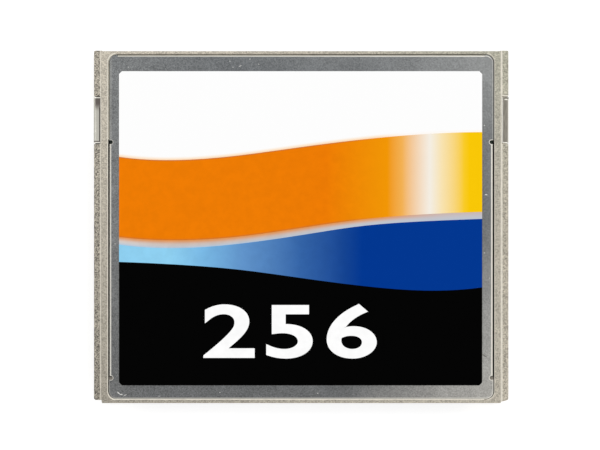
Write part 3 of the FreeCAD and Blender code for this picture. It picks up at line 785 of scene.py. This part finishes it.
def left_ear(w, x, y, low, high, given):
    """Colour of the left ear: painted lit, with painted shade towards the back, in a crease and in a line
    at its foot.
    """
    tip = EAR_RETURN - high.x
    shaded = w.product(w.ramp(y, *EAR_SHADE), band(w, x, low.x + 0.17, tip + 0.05))
    ear = w.blend(shaded, given.ear_left, given.ear_shade)
    crease = w.product(w.ramp(x, tip - 0.13, tip - 0.09), w.ramp(y, *CREASE_END, 0.9, 0.0))
    ear = w.blend(crease, ear, w.scaled(given.ear_shade, 0.5))
    line = band(w, y, EAR_START + 0.11, EAR_START + 0.23, 0.02)
    return w.blend(line, ear, given.ear_shade)


def right_ear(w, x, y, high, streaks, given):
    """Colour of the right ear: painted in shade and streaked, with painted highlights on its bend and its
    tip.
    """
    tip = high.x - EAR_RETURN
    bend = w.ramp(x, high.x - 0.14, high.x - 0.08)
    ear = w.blend(bend, w.scaled(given.ear_right, streaks), given.burnished)
    ear = w.blend(w.above(y, EAR_END - 0.19), ear, given.ear_right)
    lit_tip = w.ramp(x, tip + 0.05, tip + 0.08, 1.0, 0.0)
    return w.blend(lit_tip, ear, given.burnished)


def border_of(node, upper, stations=13):
    """Heights of a printed field's upper or lower border at even stations across the label."""
    low, high = in_millimetres(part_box(node))
    middle = (low.y + high.y) / 2
    pick = max if upper else min
    found = {}
    for vertex in nodes[node].data.vertices:
        at = vertex.co / MM
        x = round(at.x, 3)
        if (at.y > middle) == upper:
            found[x] = pick(at.y, found.get(x, at.y))
    known = sorted(found.items())
    stretch = label_width / (stations - 1)
    return [height_at(known, label_low.x + stretch * station) for station in range(stations)]


def height_at(known, x):
    """Height at x of a line through known points, which are pairs of an x and a height."""
    near, least = 1e-3, 1e-6
    before = max(point for point in known if point[0] <= x + near)
    after = min(point for point in known if point[0] >= x - near)
    run = after[0] - before[0]
    if run < least:
        return before[1]
    return before[1] + (after[1] - before[1]) * (x - before[0]) / run


def above_border(w, x, y, heights):
    """Signed height above a curved border, in millimetres."""
    node = w.add("FloatCurve")
    curve = node.mapping.curves[0]
    while len(curve.points) < len(heights):
        curve.points.new(0.5, 0.5)
    for step, height in enumerate(heights):
        curve.points[step].location = (step / (len(heights) - 1), (height - label_low.y) / label_depth)
    node.mapping.update()
    w.feed(node.inputs["Value"], across_label(w, x))
    return w.less(w.less(y, label_low.y), w.product(node.outputs[0], label_depth))


def across_label(w, x):
    """Share of the way across the label."""
    return w.math("DIVIDE", w.less(x, label_low.x), label_width, clamp=True)


def film_surface(w, surface, place, smoothest, roughest):
    """Faint unevenness of a printed film."""
    patchy = w.noise(place, grain=1.8, detail=3.0)
    w.feed(surface["Roughness"], w.ramp(patchy, 0.3, 0.7, smoothest, roughest))
    bump(w, surface, w.noise(place, grain=0.5), 0.002)


def label_film():
    """White film with a faint warm bleed over the upper band."""
    given = look("print")
    material, w, surface, place = finish("label_film", 0.34, specular=0.01)
    x, y = parts_of(w, place)[:2]
    rise = above_border(w, x, y, border_of("print_orange_band", True))
    to_right = w.ramp(across_label(w, x), 0.70, 0.80, 1.0, 0.15)
    bleed = w.product(w.ramp(rise, 0.0, 0.42, 0.75, 0.0), to_right)
    w.feed(surface["Base Color"], w.blend(bleed, given.paper, given.bleed))
    film_surface(w, surface, place, 0.30, 0.38)
    return material


def ink(name, mix):
    """Printed ink. mix makes its colour from the wiring, the place and the share across the label."""
    material, w, surface, place = finish(name, 0.32, specular=0.01)
    x, y = parts_of(w, place)[:2]
    across = across_label(w, x)
    swing = w.ramp(w.noise(place, grain=0.9, detail=3.0, roughness=0.6), 0.25, 0.75, -0.035, 0.035)
    swing = w.product(swing, w.ramp(across, 0.60, 0.75, 1.0, 0.15))
    w.feed(surface["Base Color"], w.scaled(mix(w, x, y, across), w.total(1.0, swing)))
    film_surface(w, surface, place, 0.28, 0.36)
    return material


def orange_mix(w, x, y, across):
    """Orange that turns to amber, a white glint and yellow, with a darker line along its borders."""
    given = look("print")
    body = w.stops(
        across,
        (0.57, given.orange), (0.74, tone(242, 151, 4)), (0.78, tone(244, 178, 84)),
        (0.856, tone(245, 239, 228)), (0.89, tone(249, 227, 175)), (0.95, tone(250, 204, 38)),
        (0.965, given.yellow),
    )
    from_top = above_border(w, x, y, border_of("print_orange_band", True))
    from_foot = above_border(w, x, y, border_of("print_orange_band", False))
    lines = w.largest(w.ramp(from_top, -0.16, -0.02, 0.0, 0.75), w.ramp(from_foot, 0.02, 0.22, 0.6, 0.0))
    lines = w.product(lines, w.ramp(across, 0.60, 0.74, 1.0, 0.0))
    return w.blend(lines, body, given.border)


def silver_mix(w, x, y, across):
    """Silver that cools to the right, warmed by the band above it and cooled by the one below."""
    given = look("print")
    body = w.stops(
        across,
        (0.0, tone(212, 206, 204)), (0.15, given.silver), (0.45, tone(200, 191, 188)),
        (0.62, tone(198, 196, 200)), (1.0, tone(195, 195, 203)),
    )
    under_orange = above_border(w, x, y, border_of("print_orange_band", False))
    over_blue = above_border(w, x, y, border_of("print_blue_band", True))
    to_right = w.ramp(across, 0.70, 0.92, 1.0, 0.25)
    warm = w.product(w.ramp(under_orange, -0.52, 0.0, 0.0, 0.9), to_right)
    body = w.blend(warm, body, given.warm)
    cool = w.product(w.ramp(over_blue, 0.0, 0.30, 0.7, 0.0), w.ramp(across, 0.35, 0.60, 1.0, 0.45))
    return w.blend(cool, body, given.cool)


def blue_mix(w, x, y, across):
    """Light blue that deepens to the right."""
    given = look("print")
    return w.stops(
        across,
        (0.14, given.sky), (0.23, tone(121, 184, 228)), (0.34, tone(97, 148, 203)),
        (0.50, tone(52, 100, 167)), (0.62, tone(20, 68, 147)), (0.67, given.navy),
    )


def black_mix(w, x, y, across):
    """Plain black."""
    return look("print").black


def white_mix(w, x, y, across):
    """The label's own white."""
    return look("print").paper


def plain_plastic(name, body, rough, grain, contrast):
    """Moulded part in one colour with fine grain."""
    material, w, surface, place = finish(name, rough, specular=0.4)
    texture = w.group(moulded_grain(), Place=place, Grain=grain, Contrast=contrast)
    w.feed(surface["Base Color"], w.scaled(body, texture["Shade"]))
    bump(w, surface, texture["Height"], 0.008)
    return material


def plated(name, body, rough):
    """Plated metal, slightly clouded."""
    material, w, surface, place = finish(name, rough, metal=1.0)
    satin = w.group(satin_steel(), Place=place, Contrast=0.12)
    w.feed(surface["Base Color"], w.scaled(body, satin["Shade"]))
    w.feed(surface["Roughness"], w.ramp(satin["Cloud"], 0.2, 0.8, rough * 0.8, rough * 1.3))
    return material


def lacquered_board(body):
    """Green lacquer over copper tracks."""
    material, w, surface, place = finish("lacquered_board", 0.3)
    cells = w.add("TexVoronoi", distance="CHEBYCHEV", feature="F1")
    w.feed(cells.inputs["Vector"], place)
    w.feed(cells.inputs["Scale"], 0.35)
    tracks = w.math("FRACT", w.product(cells.outputs["Distance"], 5.0))
    raised = w.ramp(tracks, 0.42, 0.5)
    w.feed(surface["Base Color"], w.scaled(body, w.ramp(raised, 0.0, 1.0, 0.9, 1.35)))
    bump(w, surface, raised, 0.02)
    return material


class CardStep:
    """A step in dressing the card."""

    bl_options = {"REGISTER", "UNDO"}


class CARD_OT_frame(CardStep, bpy.types.Operator):
    """Finish the moulded frame"""

    bl_idname = "card.frame"
    bl_label = "Frame"

    def execute(self, context):
        paint(moulded_plastic(), "frame")
        return {"FINISHED"}


class CARD_OT_covers(CardStep, bpy.types.Operator):
    """Finish the two steel covers, with the wear on the upper one"""

    bl_idname = "card.covers"
    bl_label = "Covers"

    def execute(self, context):
        paint(cover_steel("upper_cover_steel", 1.0, True), "upper_cover")
        paint(cover_steel("lower_cover_steel", 0.35, False), "lower_cover")
        return {"FINISHED"}


class CARD_OT_label(CardStep, bpy.types.Operator):
    """Finish the label and the four fields of its print"""

    bl_idname = "card.label"
    bl_label = "Label"

    def execute(self, context):
        paint(label_film(), "label")
        paint(ink("orange_ink", orange_mix), "print_orange_band")
        paint(ink("silver_ink", silver_mix), "print_silver_line")
        paint(ink("blue_ink", blue_mix), "print_blue_band")
        paint(ink("black_ink", black_mix), "print_black_field")
        return {"FINISHED"}


class CARD_OT_number(CardStep, bpy.types.Operator):
    """Print a plain number in the black field"""

    bl_idname = "card.number"
    bl_label = "Number"

    def execute(self, context):
        given = look("print")
        letters = bpy.data.curves.new("number", "FONT")
        letters.body = given.number
        letters.align_x = "CENTER"
        letters.offset = STROKE
        letters.space_character = SPACING
        draft = bpy.data.objects.new("number_draft", letters)
        context.scene.collection.objects.link(draft)
        context.view_layer.update()
        mesh = bpy.data.meshes.new_from_object(draft)
        bpy.data.objects.remove(draft)
        raise_number(mesh, given)
        number = bpy.data.objects.new("print_number", mesh)
        context.scene.collection.objects.link(number)
        mesh.materials.clear()
        mesh.materials.append(ink("white_ink", white_mix))
        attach(number, "root")
        return {"FINISHED"}


def span(shape, axis):
    """Least and greatest place of a mesh along one axis."""
    places = [vertex.co[axis] for vertex in shape.verts]
    return min(places), max(places)


def raise_number(mesh, given):
    """Scales flat figures, lays them on the black field and gives them the thickness of ink."""
    shape = bmesh.new()
    shape.from_mesh(mesh)
    bmesh.ops.remove_doubles(shape, verts=shape.verts, dist=1e-5)
    left, right = span(shape, 0)
    foot, top = span(shape, 1)
    factors = (given.number_width / (right - left), given.number_height / (top - foot), 1)
    bmesh.ops.scale(shape, vec=factors, verts=shape.verts)
    left, right = span(shape, 0)
    foot = span(shape, 1)[0]
    seat = ink_top * MM
    move = (given.number_across - (left + right) / 2, given.number_along - foot, seat)
    bmesh.ops.translate(shape, vec=move, verts=shape.verts)
    raised = bmesh.ops.extrude_face_region(shape, geom=shape.faces[:])
    upper = [part for part in raised["geom"] if isinstance(part, bmesh.types.BMVert)]
    bmesh.ops.translate(shape, vec=(0, 0, cad_box[1].z - seat), verts=upper)
    bmesh.ops.recalc_face_normals(shape, faces=shape.faces)
    for face in shape.faces:
        face.smooth = False
    shape.to_mesh(mesh)
    shape.free()


class CARD_OT_connector(CardStep, bpy.types.Operator):
    """Finish the connector housing and its two rows of contacts"""

    bl_idname = "card.connector"
    bl_label = "Connector"

    def execute(self, context):
        given = look("inside")
        paint(plain_plastic("connector_plastic", given.connector, 0.5, 0.25, 0.3), "connector_housing")
        paint(plated("contact_gold", given.gold, 0.28), "upper_contacts", "lower_contacts")
        return {"FINISHED"}


class CARD_OT_board(CardStep, bpy.types.Operator):
    """Finish the board, its chips and small parts, and the insulating films"""

    bl_idname = "card.board"
    bl_label = "Board"

    def execute(self, context):
        given = look("inside")
        resin = plain_plastic("chip_resin", given.resin, 0.55, 0.12, 0.3)
        tin = plated("tinned_metal", given.tin, 0.35)
        tan = plain_plastic("tan_ceramic", given.tan, 0.6, 0.1, 0.15)
        dark = plain_plastic("dark_ceramic", given.dark, 0.4, 0.1, 0.15)
        film = plain_plastic("amber_film", given.film, 0.25, 0.8, 0.1)
        paint(lacquered_board(given.board), "circuit_board")
        paint(resin, "upper_flash_chip", "lower_flash_chip", "controller_chip", "voltage_regulator")
        paint(tin, "upper_flash_leads", "lower_flash_leads", "controller_leads", "regulator_leads")
        paint(tin, "capacitor_caps", "resistor_caps", "crystal_can")
        paint(tan, "capacitors", "crystal_base")
        paint(dark, "resistors")
        paint(film, "upper_film", "lower_film")
        return {"FINISHED"}


class CARD_OT_stage(CardStep, bpy.types.Operator):
    """Lay the floor, hang the lamps and place the camera"""

    bl_idname = "card.stage"
    bl_label = "Stage"

    def execute(self, context):
        given = look("stage")
        scene = context.scene
        scene.view_settings.view_transform = "Standard"
        lay_floor(scene, given)
        light_room(scene, given)
        for name, (place, width) in LAMPS.items():
            hang_lamp(scene, name + "_lamp", place, width, getattr(given, name))
        place_camera(scene, given)
        return {"FINISHED"}


def seen_as(w, *kinds):
    """1 for rays of the given kinds, else 0."""
    rays = w.add("LightPath").outputs
    return w.largest(*(rays[f"Is {kind} Ray"] for kind in kinds))


def lay_floor(scene, given):
    """A wide plain floor that looks white to the camera and keeps the card's shadow."""
    shape = bmesh.new()
    bmesh.ops.create_grid(shape, x_segments=1, y_segments=1, size=FLOOR_HALF)
    bmesh.ops.translate(shape, vec=(0, 0, -FLOOR_DROP * MM), verts=shape.verts)
    mesh = bpy.data.meshes.new("floor")
    shape.to_mesh(mesh)
    shape.free()
    floor = bpy.data.objects.new("floor", mesh)
    scene.collection.objects.link(floor)
    material = bpy.data.materials.new("pale_floor")
    material.use_nodes = True
    w = Wiring(material.node_tree)
    surface = w.nodes["Principled BSDF"].inputs
    surface["Roughness"].default_value = 0.9
    surface["Specular IOR Level"].default_value = 0.1
    w.feed(surface["Base Color"], given.floor)
    w.feed(surface["Emission Color"], (1, 1, 1))
    w.feed(surface["Emission Strength"], w.product(seen_as(w, "Camera", "Glossy"), given.glow))
    mesh.materials.append(material)


def light_room(scene, given):
    """Even light from all round. The camera and reflections see it as white."""
    world = bpy.data.worlds.new("room")
    world.use_nodes = True
    scene.world = world
    w = Wiring(world.node_tree)
    sky = w.nodes["Background"].inputs
    w.feed(sky["Color"], (1, 1, 1))
    seen = seen_as(w, "Camera", "Glossy", "Transmission")
    w.feed(sky["Strength"], w.total(given.room, w.product(seen, 1.0 - given.room)))


def hang_lamp(scene, name, place, width, power):
    """A square soft lamp that points at the card."""
    lamp = bpy.data.lights.new(name, "AREA")
    lamp.size = width
    lamp.energy = power
    hung = bpy.data.objects.new(name, lamp)
    hung.location = place
    hung.rotation_mode = "QUATERNION"
    hung.rotation_quaternion = (-Vector(place)).to_track_quat("-Z", "Y")
    scene.collection.objects.link(hung)


def place_camera(scene, given):
    """A camera straight above the label, which fills the width that is asked for."""
    camera = bpy.data.cameras.new("camera")
    camera.lens = given.lens
    camera.sensor_width = 36
    camera.clip_start, camera.clip_end = 0.01, 10
    holder = bpy.data.objects.new("camera", camera)
    height = label_high.z * MM + given.view_width / camera.sensor_width * camera.lens
    holder.location = (given.view_across, given.view_along, height)
    scene.collection.objects.link(holder)
    scene.camera = holder


STEPS = (
    CARD_OT_frame,
    CARD_OT_covers,
    CARD_OT_label,
    CARD_OT_number,
    CARD_OT_connector,
    CARD_OT_board,
    CARD_OT_stage,
)


class CARD_PT_panel(bpy.types.Panel):
    """Lists the steps that dress the card"""

    bl_idname = "CARD_PT_panel"
    bl_label = "Compact Flash Card"
    bl_space_type = "VIEW_3D"
    bl_region_type = "UI"
    bl_category = "Card"

    def draw(self, context):
        for step in STEPS:
            self.layout.operator(step.bl_idname)


def register():
    """Registers the settings, the steps and the panel."""
    for kind in (*LOOKS.values(), *STEPS, CARD_PT_panel):
        bpy.utils.register_class(kind)
    for name, kind in LOOKS.items():
        setattr(bpy.types.Scene, "card_" + name, PointerProperty(type=kind))


def unregister():
    """Takes them out again."""
    for name in LOOKS:
        delattr(bpy.types.Scene, "card_" + name)
    for kind in reversed((*LOOKS.values(), *STEPS, CARD_PT_panel)):
        bpy.utils.unregister_class(kind)


def main():
    """Dresses the card and sets up the studio."""
    register()
    bpy.ops.card.frame()
    bpy.ops.card.covers()
    bpy.ops.card.label()
    bpy.ops.card.number()
    bpy.ops.card.connector()
    bpy.ops.card.board()
    bpy.ops.card.stage()


if __name__ == "__main__":
    main()
